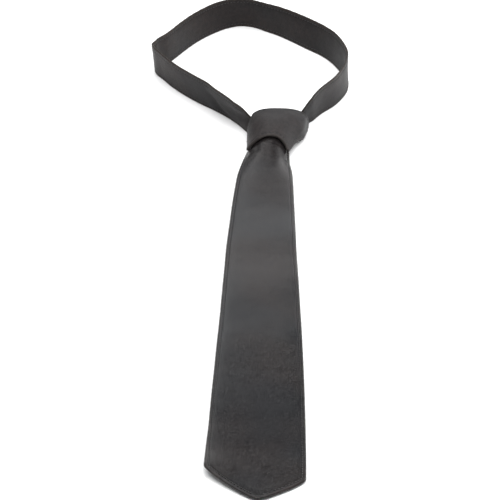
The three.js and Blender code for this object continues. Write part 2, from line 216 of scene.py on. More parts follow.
# The band goes round the loop from the knot's left side to its right side. x and y are the middle of its
# lower edge, foot that edge's height, lean its outward lean in degrees and width the height of the strip.
BAND = table("x y lean foot width", [
    (-10.2, 16.5, 0, 3.2, 7.0),
    (-11.9, 20.8, 0, 1.0, 10.2),
    (-15.4, 25.8, 6, 0, 18.8),
    (-21.0, 35.2, 16, 0, 23.5),
    (-33.1, 50.0, 15, 0, BAND_WIDTH),
    (-41.4, 58.4, 10.5, 0, BAND_WIDTH),
    (-48.3, 64.3, 8.5, 0, BAND_WIDTH),
    (-58.7, 75.0, 7.5, 0, BAND_WIDTH),
    (-69.2, 88.4, 7.5, 0, BAND_WIDTH),
    (-77.0, 100.2, 7, 0, BAND_WIDTH),
    (-82.5, 109.4, 5.5, 0, BAND_WIDTH),
    (-81.2, 116.6, 4, 0, BAND_WIDTH),
    (-73.2, 126.8, 5, 0, BAND_WIDTH),
    (-61.8, 144.8, 5.5, 0, BAND_WIDTH),
    (-50.9, 159.6, 5.5, 0, BAND_WIDTH),
    (-40.2, 170.8, 5, 0, BAND_WIDTH),
    (-29.4, 178.7, 1, 0, BAND_WIDTH),
    (-18.2, 181.7, -3.5, 0, BAND_WIDTH),
    (-9.0, 179.3, -3.5, 0, BAND_WIDTH),
    (-1.5, 174.0, -1, 0, BAND_WIDTH),
    (9.0, 166.3, 3.5, 0, BAND_WIDTH),
    (19.7, 156.6, 8, 0, BAND_WIDTH),
    (30.1, 146.2, 10.5, 0, BAND_WIDTH),
    (40.6, 135.9, 9, 0, BAND_WIDTH),
    (48.5, 125.1, 8, 0, BAND_WIDTH),
    (54.6, 111.5, 5.5, 0, BAND_WIDTH),
    (57.8, 100.5, 3, 0, BAND_WIDTH),
    (59.3, 90.5, -2.4, 0, BAND_WIDTH),
    (57.2, 79.0, -3, 0, BAND_WIDTH),
    (49.4, 63.8, 0.5, 0, BAND_WIDTH),
    (39.6, 51.3, 4, 0, BAND_WIDTH),
    (31.6, 40.4, 6, 0, 23.5),
    (26.0, 32.8, 5, 1.2, 16.5),
    (20.9, 26.0, 0, 4.6, 6.4),
    (18.8, 18.5, 0, 5.2, 5.6),
])

# The knot's left and right are the x of its sides. Shoulder and crown are the powers of the cosine and the
# sine that shape its upper half, where 1 and 1 give an ellipse and less is fuller.
KNOT = table("y left right height shoulder crown", [
    (-11.0, -16.1, 16.8, 16.7, 1.0, 1.8),
    (0.0, -15.2, 20.1, 19.3, 0.95, 1.5),
    (6.0, -15.2, 23.3, 20.6, 0.9, 1.25),
    (11.0, -15.2, 25.9, 21.3, 0.84, 1.0),
    (18.0, -15.2, 28.0, 21.0, 0.75, 0.8),
    (26.0, -15.1, 29.6, 19.5, 0.71, 0.71),
    (32.0, -15.0, 31.2, 17.0, 0.67, 0.67),
])

# The y of the two edges of the knot's outer layer, by degrees round it from its right side over the crown to
# its left. Its rounded edges stand out beyond them.
WRAP = table("around mouth top", [
    (-90, 8.0, 17.0),
    (-30, 12.5, 22.5),
    (-8, 11.0, 25.6),
    (4, 4.0, 26.6),
    (11, -5.6, 26.8),
    (22, -12.0, 26.8),
    (42, -9.2, 26.6),
    (75, -6.6, 26.4),
    (105, -6.8, 26.0),
    (132, -7.8, 25.2),
    (143, -7.7, 24.2),
    (156, -7.6, 19.0),
    (170, -7.8, 17.8),
    (180, -7.0, 17.6),
    (196, 4.5, 17.4),
    (270, 8.0, 17.0),
])

# The same for its inner layer, which doesn't go all the way round
TURN = table("around mouth top", [
    (-52, 14.0, 22.0),
    (-25, 14.0, 24.0),
    (0, 10.0, 25.5),
    (22, 7.0, 25.5),
    (48, 7.0, 23.0),
    (90, 7.5, 14.0),
    (112, 7.5, 11.0),
])


# Curves through the tables

def smooth_way(t, start, end, leave, arrive):
    """The way from start to end for t from 0 to 1, with the speeds at which it leaves and arrives."""
    square, cube = t * t, t * t * t
    return ((2 * cube - 3 * square + 1) * start + (cube - 2 * square + t) * leave
            + (3 * square - 2 * cube) * end + (cube - square) * arrive)


def column(rows, key, name, at):
    """A column of a table at a key, on a smooth curve that doesn't overshoot its rows."""
    keys, values = rows[key], rows[name]
    if keys[0] > keys[-1]:
        keys, values = keys[::-1], values[::-1]
    slopes = np.diff(values) / np.diff(keys)
    before, after = slopes[:-1], slopes[1:]
    same_way = before * after > 0
    total = np.where(same_way, before + after, 1.0)
    inner = np.where(same_way, 2 * before * after / total, 0.0)
    tangents = np.concatenate([slopes[:1], inner, slopes[-1:]])
    i = np.clip(np.searchsorted(keys, at, side="right") - 1, 0, len(keys) - 2)
    span = keys[i + 1] - keys[i]
    t = np.clip((at - keys[i]) / span, 0, 1)
    return smooth_way(t, values[i], values[i + 1], span * tangents[i], span * tangents[i + 1])


def columns(rows, key, names, at):
    """Several columns of a table at a key."""
    return [column(rows, key, name, at) for name in names.split()]


def row_curve(points, at):
    """Smooth curve through the points of a table's rows, at row numbers with a fraction."""
    extended = np.vstack([2 * points[0] - points[1], points, 2 * points[-1] - points[-2]])
    i = np.clip(np.floor(at).astype(int), 0, len(points) - 2)
    before, start, end, after = (extended[i + k] for k in range(4))
    gap_before, gap, gap_after = (
        np.sqrt(np.linalg.norm(there - here, axis=1, keepdims=True))
        for here, there in ((before, start), (start, end), (end, after))
    )
    leave = (start - before) / gap_before - (end - before) / (gap_before + gap) + (end - start) / gap
    arrive = (end - start) / gap - (after - start) / (gap + gap_after) + (after - end) / gap_after
    return smooth_way((at - i)[:, None], start, end, leave * gap, arrive * gap)


def run_along(line):
    """Distance run along a line of points, at each of them."""
    return np.concatenate([[0], np.cumsum(np.linalg.norm(np.diff(line, axis=0), axis=1))])


def even_rows(points, step, closing=(0,)):
    """Row numbers that lie a step apart along the curve through the rows.

    closing gives the last ones by how far they lie before the end.
    """
    last = len(points) - 1
    at = np.linspace(0, last, last * CURVE_SAMPLES + 1)
    run = run_along(row_curve(points, at))
    even_end = run[-1] - closing[0]
    distances = np.linspace(0, even_end, int(round(even_end / step)) + 1)
    distances = np.concatenate([distances, run[-1] - np.array(closing[1:])])
    return np.interp(distances, run, at)


def finer(line, step):
    """A line of points with a point every step."""
    run = run_along(line)
    at = np.linspace(0, run[-1], max(int(run[-1] / step), 2))
    return np.stack([np.interp(at, run, line[:, k]) for k in range(3)], axis=1)


# Shapes of steps, edges and waves

def smooth_step(values, start, end):
    """0 at the start and before it, 1 at the end and after it, and a soft rise between them."""
    t = np.clip((values - start) / (end - start), 0, 1)
    return t * t * (3 - 2 * t)


def bump(values, centre, width):
    """1 at the centre, falling off softly to both sides."""
    return np.exp(-(((values - centre) / width) ** 2))


def round_edge(distance, radius):
    """0 at an edge and 1 from its radius inward, rounded like a quarter of a circle."""
    share = np.clip(distance / radius, 0, 1)
    return np.sqrt(1 - (1 - share) ** 2)


def soft_waves(u, v, longest, count, seed):
    """A few waves across each other, about -1 to 1."""
    draw = np.random.default_rng(seed)
    total = np.zeros_like(u)
    for _ in range(count):
        angle = draw.uniform(0, math.pi)
        length = longest * draw.uniform(SHORTEST_WAVE, 1.0)
        phase = draw.uniform(0, 2 * math.pi)
        total += np.sin(2 * math.pi * (u * math.cos(angle) + v * math.sin(angle)) / length + phase)
    return total / math.sqrt(count)


def unevenness(u, v, waves):
    """Gentle unevenness of hand-worked leather."""
    return sum(height * soft_waves(u, v, longest, count, seed) for height, longest, count, seed in waves)


# Grids of points

def across_grid(place, start, end, inner_count):
    """Points of a strip's middle surface, row by row from one edge to the other.

    place(c) gives the points of all rows for c, one measure across per row; start and end are the edges.
    """
    half = (end - start) / 2
    squeeze = np.minimum(1.0, half / (NEAR_EDGE[-1] * EDGE_ROOM))
    distances = [squeeze * distance for distance in NEAR_EDGE]
    near = distances[-1]
    for step in range(1, inner_count + 1):
        distances.append(near + (half - near) * step / inner_count)
    first_half = [place(start + distance) for distance in distances]
    second_half = [place(end - distance) for distance in distances[:-1]]
    return np.stack(first_half + second_half[::-1], axis=1)


def per_point(values, grid):
    """A value for each row of a grid, repeated for every point of the row."""
    return np.repeat(values[:, None], grid.shape[1], axis=1)


def unit(vectors):
    """Vectors brought to length 1."""
    length = np.linalg.norm(vectors, axis=-1, keepdims=True)
    return vectors / np.maximum(length, NO_LENGTH)


def grid_normals(grid, closed):
    """Unit normals of a grid of points, whose rows may meet end to start."""
    if closed:
        along = np.roll(grid, -1, axis=0) - np.roll(grid, 1, axis=0)
    else:
        along = np.gradient(grid, axis=0)
    across = np.gradient(grid, axis=1)
    return unit(np.cross(across, along))


def edge_lines(grid, closed):
    """The outline of a grid of points: its two long edges, and its ends where the rows don't meet."""
    if closed:
        loop = np.vstack([grid, grid[:1]])
        return [loop[:, 0], loop[:, -1]]
    return [grid[:, 0], grid[:, -1], grid[0], grid[-1]]


def distance_to_nearest(points, grid):
    """Distance from each point of a grid to the nearest of some points."""
    tree = KDTree(len(points))
    for number, point in enumerate(points):
        tree.insert(point, number)
    tree.balance()
    return np.array([tree.find(point)[2] for point in grid.reshape(-1, 3)]).reshape(grid.shape[:2])


def on_grid(grid, rows, places):
    """Points of a grid at row numbers and places across with a fraction."""
    i = np.clip(np.floor(rows).astype(int), 0, grid.shape[0] - 2)
    j = np.clip(np.floor(places).astype(int), 0, grid.shape[1] - 2)
    a, b = (rows - i)[:, None], (places - j)[:, None]
    return ((1 - a) * (1 - b) * grid[i, j] + a * (1 - b) * grid[i + 1, j]
            + (1 - a) * b * grid[i, j + 1] + a * b * grid[i + 1, j + 1])


def quads(numbers, closed):
    """Faces between neighbouring points of a grid of point numbers."""
    here = numbers if closed else numbers[:-1]
    after = np.roll(numbers, -1, axis=0) if closed else numbers[1:]
    return np.stack([here[:, :-1], here[:, 1:], after[:, 1:], after[:, :-1]], axis=-1).reshape(-1, 4)


# Pieces of leather

def seam_lines(distance):
    """Where the seam crosses each row of a grid, by its points' distance from the edge: a line at each side.

    Each line is an array of row numbers and an array of places across with a fraction.
    """
    row_count, column_count = distance.shape
    middle = column_count // 2
    lines = []
    for first, side in ((0, 1), (column_count - 1, -1)):
        rows, places = [], []
        for row in range(row_count):
            for here in range(first, middle, side):
                low, high = distance[row, here], distance[row, here + side]
                if low < SEAM_INSET <= high:
                    rows.append(row)
                    places.append(here + side * (SEAM_INSET - low) / (high - low))
                    break
        lines.append((np.array(rows, float), np.array(places, float)))
    return lines


def needle_holes(grid, lines):
    """Places of the needle holes along seam lines: row numbers and places across, one stitch apart."""
    holes = []
    for rows, places in lines:
        run = run_along(on_grid(grid, rows, places))
        at = np.arange(STITCH_PITCH / 2, run[-1], STITCH_PITCH)
        holes.append((np.interp(at, run, rows), np.interp(at, run, places)))
    return holes


def half_thickness(thickness, distance, hole_distance):
    """Half the leather's thickness, by distance from its edge and from the nearest needle hole."""
    half = thickness / 2 * round_edge(distance, EDGE_SHARE * thickness * EDGE_REACH)
    half = half - HEM_STEP / 2 * smooth_step(distance, HEM_END - HEM_SOFTNESS, HEM_END + HEM_SOFTNESS)
    half = half - GROOVE_DEPTH * bump(distance, SEAM_INSET, GROOVE_WIDTH)
    half = half - DIMPLE_DEPTH * bump(hole_distance, 0, DIMPLE_WIDTH)
    half[distance < ON_OUTLINE] = 0
    return half


def leather_mesh(name, grid, thickness, closed, relief):
    """A piece of leather round a grid of middle points, with rounded edges, a hem step and a stitch groove.

    relief is how far each point of the grid is lifted along its normal. Returns the piece and its sewing,
    which is the points, the outward normals and the needle holes of each of its two faces.
    """
    grid = grid + grid_normals(grid, closed) * relief[..., None]
    normals = grid_normals(grid, closed)
    outline = np.vstack([finer(line, OUTLINE_STEP) for line in edge_lines(grid, closed)])
    distance = distance_to_nearest(outline, grid)
    holes = needle_holes(grid, seam_lines(distance))
    hole_points = np.vstack([on_grid(grid, rows, places) for rows, places in holes])
    half = half_thickness(thickness, distance, distance_to_nearest(hole_points, grid))
    front = grid + normals * half[..., None]
    back = grid - normals * half[..., None]
    for face in (front, back):
        face[..., 2] = np.maximum(face[..., 2], 0.0)
    sewing = [(front, normals, holes), (back, -normals, holes)]
    return two_faced_piece(name, front, back, distance, closed), sewing


def add_mesh(name, points, faces):
    """A smoothly shaded object from points in the tie's coordinates and the faces between them."""
    mesh = bpy.data.meshes.new(name)
    mesh.from_pydata(((points - MIDDLE) * MM).tolist(), [], faces)
    mesh.polygons.foreach_set("use_smooth", [True] * len(faces))
    piece = bpy.data.objects.new(name, mesh)
    bpy.context.collection.objects.link(piece)
    return piece


def two_faced_piece(name, front, back, distance, closed):
    """An object from the two faces of a piece of leather, which share the points of its outline.

    Its attribute edge is the distance from the outline in millimetres, and its UV map is the leather laid
    flat, in metres.
    """
    front_numbers = np.arange(distance.size).reshape(distance.shape)
    back_numbers = front_numbers + distance.size
    back_numbers[:, 0], back_numbers[:, -1] = front_numbers[:, 0], front_numbers[:, -1]
    if not closed:
        back_numbers[0], back_numbers[-1] = front_numbers[0], front_numbers[-1]
    all_faces = np.vstack([quads(front_numbers, closed), quads(back_numbers, closed)[:, ::-1]])
    used, faces = np.unique(all_faces, return_inverse=True)
    faces = faces.reshape(-1, 4)
    points = np.vstack([front.reshape(-1, 3), back.reshape(-1, 3)])
    piece = add_mesh(name, points[used], faces.tolist())
    edge = piece.data.attributes.new("edge", "FLOAT", "POINT")
    edge.data.foreach_set("value", np.tile(distance.ravel(), 2)[used])
    row_count, column_count = distance.shape
    along = per_point(run_along(front[:, column_count // 2]), front)
    across = np.tile(run_along(front[row_count // 2]), (row_count, 1))
    flat = np.tile(np.stack([along, across], axis=-1).reshape(-1, 2), (2, 1))
    uv = piece.data.uv_layers.new(name="UVMap")
    uv.data.foreach_set("uv", flat[used][faces.ravel()].ravel() * MM)
    piece.data.validate()
    return piece


# Stitches

def stitch_points(face, normals, rows, places):
    """Points of all stitches along one line of needle holes, as an array: stitch, ring, side, coordinate.

    t runs from 0 to 1 along a stitch, and bow from 0 at its ends to 1 at its middle.
    """
    t = np.linspace(0, 1, STITCH_RINGS)
    spare = (1 - STITCH_LENGTH / STITCH_PITCH) / 2
    share = spare + (1 - 2 * spare) * t
    row = (rows[:-1, None] + share * np.diff(rows)[:, None]).ravel()
    place = (places[:-1, None] + share * np.diff(places)[:, None]).ravel()
    shape = (len(rows) - 1, STITCH_RINGS, 3)
    middle = on_grid(face, row, place).reshape(shape)
    up = unit(on_grid(normals, row, place)).reshape(shape)
    forward = unit(middle[:, -1:] - middle[:, :1])
    sideways = unit(np.cross(up, forward))
    bow = np.sqrt(np.sin(math.pi * t))
    lift = (THREAD_LIFT + THREAD_SINK) * bow - THREAD_SINK
    lean = STITCH_SLANT * STITCH_LENGTH * (t - 0.5)
    middle = middle + up * lift[:, None] + sideways * lean[:, None]
    middle[..., 2] = np.maximum(middle[..., 2], THREAD_RADIUS)
    radius = THREAD_RADIUS * (THREAD_TAPER + (1 - THREAD_TAPER) * bow)
    turn = np.arange(STITCH_SIDES) * 2 * math.pi / STITCH_SIDES
    spoke = sideways[:, :, None] * np.cos(turn)[:, None] + up[:, :, None] * np.sin(turn)[:, None]
    return middle[:, :, None] + spoke * radius[:, None, None]


def sew(name, sewing):
    """Thread stitches on the faces of a piece of leather, as one object."""
    points = np.concatenate([
        stitch_points(face, normals, rows, places)
        for face, normals, holes in sewing
        for rows, places in holes
    ])
    ring = np.arange(STITCH_RINGS * STITCH_SIDES).reshape(STITCH_RINGS, STITCH_SIDES)
    sides = quads(np.hstack([ring, ring[:, :1]]), False)[:, ::-1]
    caps = (ring[0], ring[-1][::-1])
    faces = []
    for first in range(0, len(points) * ring.size, ring.size):
        faces.extend((sides + first).tolist())
        faces.extend((cap + first).tolist() for cap in caps)
    return add_mesh(name, points.reshape(-1, 3), faces)


def dress(node, slot, grid, thickness, closed, relief):
    """The visible piece for one CAD node, and its stitching."""
    piece, sewing = leather_mesh(node + "_leather", grid, thickness, closed, relief)
    piece.data.materials.append(materials[slot])
    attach(piece, "root")
    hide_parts(node)
    stitching = sew(node + "_stitching", sewing)
    stitching.data.materials.append(materials["thread"])
    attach(stitching, "root")


# Front blade and tail

def middle_line(rows):
    """Points in the middle of the blade's or the tail's rows."""
    return np.stack([0 * rows["y"], rows["y"], rows["z"]], axis=1)


def slope_outline(corner, y, tip_side):
    """x of the blade's edge from one of its corners to the tip."""
    corner_x, corner_y, fullness = corner
    share = np.clip((y - corner_y) / (TIP[1] - corner_y), 0, 1)
    return corner_x + (TIP[0] + tip_side * TIP_HALF_WIDTH - corner_x) * share ** fullness


def blade_outline(at, y):
    """x of the blade's two edges at its rows, with the corners and the tip a little rounded."""
    edges = []
    for name, corner, tip_side in (("left", LEFT_CORNER, -1), ("right", RIGHT_CORNER, 1)):
        full = column(BLADE, "index", name, at)
        nearby = [
            np.where(y + shift < corner[1], slope_outline(corner, y + shift, tip_side), full)
            for shift in np.linspace(-CORNER_ROUND, CORNER_ROUND, CORNER_SAMPLES)
        ]
        x = np.mean(nearby, axis=0)
        edges.append(TIP[0] + (x - TIP[0]) * round_edge(y - TIP[1], TIP_ROUND))
    return edges


def press_under_wrap(grid):
    """The blade's grid, lifted where it comes out of the knot until it nearly touches the wrap over it."""
    x, y, z = (grid[..., k] for k in range(3))
    inset = WRAP_THICKNESS + PRESSED_GAP + BLADE_THICKNESS / 2
    left, right, reach, shoulder, crown = knot_section(y, inset)
    sideways = np.clip((2 * x - left - right) / (right - left), -1, 1)
    cosine = np.abs(sideways) ** (1 / shoulder)
    ceiling = KNOT_WIDEST_LEVEL + reach * np.sqrt(1 - cosine ** 2) ** crown
    ceiling = ceiling - BLADE_FALL * np.maximum(KNOT["y"][0] - y, 0)
    at_mouth = smooth_step(y, *PRESSED_FRONT) * smooth_step(y, *PRESSED_BACK)
    share = PRESSED_SHARE * at_mouth * smooth_step(sideways, *PRESSED_LEFT)
    lifted = grid.copy()
    lifted[..., 2] = z + share * np.maximum(ceiling - z, 0)
    return lifted


def make_blade():
    """The wide end, which folds over the top of the knot, runs down through it and lies on the floor."""
    points = middle_line(BLADE)
    at = even_rows(points, BLADE_STEP, TIP_ROWS)
    path = row_curve(points, at)
    direction = unit(np.gradient(path, axis=0))
    up = np.stack([0 * at, direction[:, 2], -direction[:, 1]], axis=1)
    names = "left right drop_left drop_right squareness"
    left, right, drop_left, drop_right, squareness = columns(BLADE, "index", names, at)
    centre = (left + right) / 2
    half = (right - left) / 2 - EDGE_SHARE * BLADE_THICKNESS
    flatter = 1 - FLATTENING * smooth_step(path[:, 1], *FLATTENING_RANGE)
    drop_left = np.where(drop_left > 0, drop_left * flatter, drop_left)
    drop_right = drop_right * flatter

    def place(x):
        share = np.abs(x - centre) / half
        drop = np.where(x < centre, drop_left, drop_right) * share ** squareness
        point = path - up * drop[:, None]
        point[:, 0] = x
        return point

    left_edge, right_edge = blade_outline(at, path[:, 1])
    grid = press_under_wrap(across_grid(place, left_edge, right_edge, BLADE_INNER))
    relief = unevenness(per_point(run_along(path), grid), grid[..., 0], BLADE_WAVES)
    dress("front_blade", "blade_leather", grid, BLADE_THICKNESS, False, relief)


def make_tail():
    """The narrow end, which lies under the blade."""
    run = run_along(middle_line(TAIL))
    at = np.interp(np.linspace(0, run[-1], int(run[-1] / TAIL_STEP)), run, TAIL["index"])
    y, z, left, right = columns(TAIL, "index", "y z left right", at)
    edge = EDGE_SHARE * TAIL_THICKNESS
    grid = across_grid(lambda x: np.stack([x, y, z], axis=1), left - edge, right + edge, TAIL_INNER)
    relief = unevenness(grid[..., 1], grid[..., 0], TAIL_WAVES)
    dress("tail_blade", "tail_leather", grid, TAIL_THICKNESS, False, relief)


# Neck band

def band_fold(row, height, outward, row_run, slant, place, width):
    """A soft ridge across the band, or a fold where outward is negative."""
    return outward * bump(row * row_run - height * slant, place, width)


def band_relief(at, grid):
    """Folds and creases of the band, by row number in its table and height."""
    row, height = per_point(at, grid), grid[..., 2]
    relief = unevenness(per_point(run_along(grid[:, 0]), grid), height, BAND_WAVES)
    gathered = smooth_step(row, *GATHER_START) * smooth_step(row, *GATHER_END)
    relief = relief - GATHER_DEPTH * gathered * bump(height, GATHER_HEIGHT, GATHER_WIDTH)
    inner_part = smooth_step(height, *LEG_FOLD_FOOT) * smooth_step(height, *LEG_FOLD_TOP)
    relief = relief + inner_part * band_fold(row, height, *LEG_FOLD)
    for fold in BAND_FOLDS:
        relief = relief + band_fold(row, height, *fold)
    return relief


def make_band():
    """The strip that stands on its edge in a loop, with both ends in the knot."""
    points = np.stack([BAND["x"], BAND["y"], 0 * BAND["x"]], axis=1)
    at = even_rows(points, BAND_STEP)
    path = row_curve(points, at)
    direction = unit(np.gradient(path, axis=0))
    outward = np.stack([-direction[:, 1], direction[:, 0], 0 * at], axis=1)
    lean, foot, width = columns(BAND, "index", "lean foot width", at)
    lean = np.radians(lean)

    def place(height):
        point = path + outward * (np.sin(lean) * height)[:, None]
        point[:, 2] = foot + np.cos(lean) * height
        return point

    grid = across_grid(place, 0 * width, width, BAND_INNER)
    dress("neck_band", "band_leather", grid, BAND_THICKNESS, False, band_relief(at, grid))


# Knot

def knot_section(y, inset):
    """The knot's sides, height over its widest level, shoulder and crown at y, set in from its outside."""
    left, right, height, shoulder, crown = columns(KNOT, "y", "left right height shoulder crown", y)
    return left + inset, right - inset, height - inset - KNOT_WIDEST_LEVEL, shoulder, crown


def knot_point(y, around, inset):
    """Points on the knot's form, set in from its outside."""
    left, right, reach, shoulder, crown = knot_section(y, inset)
    angle = np.radians(around)
    cosine, sine = np.cos(angle), np.sin(angle)
    above = sine >= 0
    shoulder = np.where(above, shoulder, KNOT_FOOT_POWER)
    crown = np.where(above, crown, KNOT_FOOT_POWER)
    reach = np.where(above, reach, KNOT_WIDEST_LEVEL + KNOT_FOOT_SINK - inset)
    sideways = np.sign(cosine) * np.abs(cosine) ** shoulder
    upward = np.sign(sine) * np.abs(sine) ** crown
    x = (left + right) / 2 + sideways * (right - left) / 2
    z = np.maximum(KNOT_WIDEST_LEVEL + reach * upward, inset)
    return np.stack([x, y, z], axis=1)


def knot_grid(rows, inset, thickness, closed):
    """Degrees round the knot and middle points of one of its layers, with its rows evenly spaced round it."""
    angles = np.linspace(rows["around"][0], rows["around"][-1], KNOT_SAMPLES)
    run = run_along(knot_point(np.full(KNOT_SAMPLES, KNOT_SPACING_Y), angles, inset))
    count = int(run[-1] / KNOT_STEP)
    around = np.interp(np.linspace(0, run[-1], count + 1), run, angles)
    if closed:
        around = around[:-1]
    edge = EDGE_SHARE * thickness
    mouth, top = columns(rows, "around", "mouth top", around)
    middle_inset = inset + thickness / 2
    grid = across_grid(lambda y: knot_point(y, around, middle_inset), mouth - edge, top + edge, KNOT_INNER)
    return around, grid


def wrap_relief(around, grid):
    """Unevenness, pulls and the full right shoulder of the wrap."""
    x, y, angle = grid[..., 0], grid[..., 1], per_point(around, grid)
    relief = unevenness(x, y, WRAP_WAVES) * bump(angle, *WRAP_WAVES_AROUND)
    for height, place, width, middle_angle, angle_width in WRAP_PULLS:
        pull = bump(y + PULL_SLANT * x, place, width) * bump(angle, middle_angle, angle_width)
        relief = relief + height * pull
    level = smooth_step(y, *SHOULDER_FRONT) * smooth_step(y, *SHOULDER_BACK)
    for height, middle_angle, angle_width in WRAP_SHOULDER:
        relief = relief + height * level * bump(angle, middle_angle, angle_width)
    return relief


def make_wrap():
    """The outer layer of the knot, which goes all the way round."""
    around, grid = knot_grid(WRAP, 0.0, WRAP_THICKNESS, True)
    dress("knot_wrap", "knot_leather", grid, WRAP_THICKNESS, True, wrap_relief(around, grid))


def make_turn():
    """The plain inner layer of the knot."""
    _, grid = knot_grid(TURN, WRAP_THICKNESS + CLEARANCE, TURN_THICKNESS, False)
    dress("knot_turn", "knot_leather", grid, TURN_THICKNESS, False, 0 * grid[..., 0])


# Materials

# Linear red, green and blue of each leather where its dye is cool, where it is warm and where it is rubbed
# bare, and its roughness. The four parts are one leather: the differences between their dyes are painted
# light and shade, each part's dye set darker or lighter to make up for the light that falls on it.
LEATHERS = {
    "blade_leather": ((0.0066, 0.0068, 0.0080), (0.0106, 0.0086, 0.0083), (0.022, 0.019, 0.018), 0.18),
    "tail_leather": ((0.014, 0.014, 0.015), (0.018, 0.0165, 0.016), (0.026, 0.023, 0.021), 0.35),
    "knot_leather": ((0.0155, 0.0146, 0.0151), (0.0210, 0.0170, 0.0164), (0.026, 0.0225, 0.0205), 0.52),
    "band_leather": ((0.0105, 0.0092, 0.0094), (0.0150, 0.0112, 0.0104), (0.026, 0.0205, 0.0175), 0.52),
}
MOTTLE_DARK = (0.006, 0.006, 0.007)
# Colour of the painted shade along the stitch groove
GROOVE_PAINTED_SHADE = (0.006, 0.006, 0.006)
COOL_HIGHLIGHT = (0.96, 0.98, 1.0)
WARM_HIGHLIGHT = (1.0, 0.93, 0.93)
DIM_HIGHLIGHT = (0.5, 0.49, 0.5)
FUZZ_TINT = (0.9, 0.88, 0.86)
THREAD_DARK = (0.018, 0.017, 0.017)
THREAD_LIGHT = (0.034, 0.032, 0.031)
FLOOR_DARK = (0.91, 0.91, 0.91)
FLOOR_LIGHT = (0.93, 0.93, 0.93)

# Noise: repeats per metre, detail and roughness
CRUMPLE_NOISE = (70, 2.0, 0.5)
PORE_NOISE = (3200, 2.0, 0.6)
TWIST_NOISE = (2600, 2.0, 0.6)
FLOOR_NOISE = (3, 2.0, 0.5)

# Patches: repeats per metre, detail and roughness of a noise, and the part of its range that is spread out
TONE_PATCHES = (13, 2.0, 0.5, 0.36, 0.64)
MOTTLE_PATCHES = (330, 4.0, 0.65, 0.35, 0.65)
RUB_PATCHES = (240, 3.0, 0.6, 0.3, 0.65)
GLOSS_PATCHES = (60, 3.0, 0.5, 0.3, 0.7)
DIM_PATCHES = (520, 4.0, 0.7, 0.36, 0.64)
MOTTLE_SHARE = 0.5         # the most that the dye goes over to MOTTLE_DARK
LEAST_RUB = 0.15           # the least that the very edge goes over to its rubbed colour
DIM_SHARE = 0.5            # the most that a highlight goes over to DIM_HIGHLIGHT
GLOSS_VARIATION = 0.02     # how far the leather's roughness goes to each side of its mean

# Lines along the edge, by distance from it in millimetres
RUBBED_EDGE = (0.5, 2.3)   # where it is rubbed bare, and where that ends
GROOVE_SHADE = 0.7         # how far the groove's painted shade line goes to each side of the seam
GROOVE_SHADE_STRENGTH = 0.55        # the most that the painted shade line goes over to its dark colour

# Relief: depth in metres and strength
CRUMPLE_RELIEF = (0.0005, 0.12)
PEBBLE_RELIEF = (0.00006, 0.5)
PORE_RELIEF = (0.00002, 0.3)
TWIST_RELIEF = (0.00005, 0.5)

PEBBLES_PER_METRE = 1050
PEBBLE_RANDOMNESS = 0.9
PEBBLE_RIM = 0.28          # width of the valley round a pebble, as a share of the pebble's size
TWIST_RANGE = (0.3, 0.7)   # the part of the twist's noise over which the thread goes from dark to light

# Sockets of the node that mixes two colours
MIX_SHARE, MIX_FIRST, MIX_SECOND, MIX_RESULT = 0, 6, 7, 2


class Shader:
    """A material whose nodes are added and linked in one call each."""

    def __init__(self, name):
        self.material = bpy.data.materials.new(name)
        self.material.use_nodes = True
        self.tree = self.material.node_tree
        self.tree.nodes.clear()
        self.coordinates = self.add("TexCoord").outputs["Object"]

    def add(self, kind, inputs=None, **settings):
        """A node with its settings, and with each input set to a value or linked to another node's output."""
        node = self.tree.nodes.new("ShaderNode" + kind)
        for name, value in settings.items():
            setattr(node, name, value)
        for socket, value in (inputs or {}).items():
            if isinstance(value, bpy.types.NodeSocket):
                self.tree.links.new(value, node.inputs[socket])
            else:
                node.inputs[socket].default_value = value
        return node

    def noise(self, scale, detail, roughness):
        """Soft random patches, about 0.3 to 0.7."""
        inputs = {"Vector": self.coordinates, "Scale": scale, "Detail": detail, "Roughness": roughness}
        return self.add("TexNoise", inputs).outputs["Fac"]

    def spread(self, value, low, high, to_low=0.0, to_high=1.0):
        """Value from the range low to high, spread smoothly over the range to_low to to_high."""
        inputs = {"Value": value, "From Min": low, "From Max": high, "To Min": to_low, "To Max": to_high}
        return self.add("MapRange", inputs, interpolation_type="SMOOTHSTEP").outputs["Result"]

    def patches(self, scale, detail, roughness, low, high, to_low=0.0, to_high=1.0):
        """A noise, with a part of its range spread smoothly over another range."""
        return self.spread(self.noise(scale, detail, roughness), low, high, to_low, to_high)

    def times(self, a, b):
        """The product of two values."""
        return self.add("Math", {0: a, 1: b}, operation="MULTIPLY").outputs["Value"]

    def mix(self, share, first, second):
        """A colour between two, which is the first where the share is 0."""
        inputs = {MIX_SHARE: share, MIX_FIRST: first, MIX_SECOND: second}
        return self.add("Mix", inputs, data_type="RGBA").outputs[MIX_RESULT]

    def bump(self, height, distance, strength, below=None):
        """The normal of a relief, on top of another one where below is given."""
        inputs = {"Height": height, "Distance": distance, "Strength": strength}
        if below is not None:
            inputs["Normal"] = below
        return self.add("Bump", inputs).outputs["Normal"]

    def surface(self, inputs):
        """The finished material, with these inputs of its surface."""
        shader = self.add("BsdfPrincipled", inputs)
        self.add("OutputMaterial", {"Surface": shader.outputs["BSDF"]})
        return self.material


def colour(rgb):
    """Red, green and blue as the colour of a socket."""
    return (*rgb, 1.0)


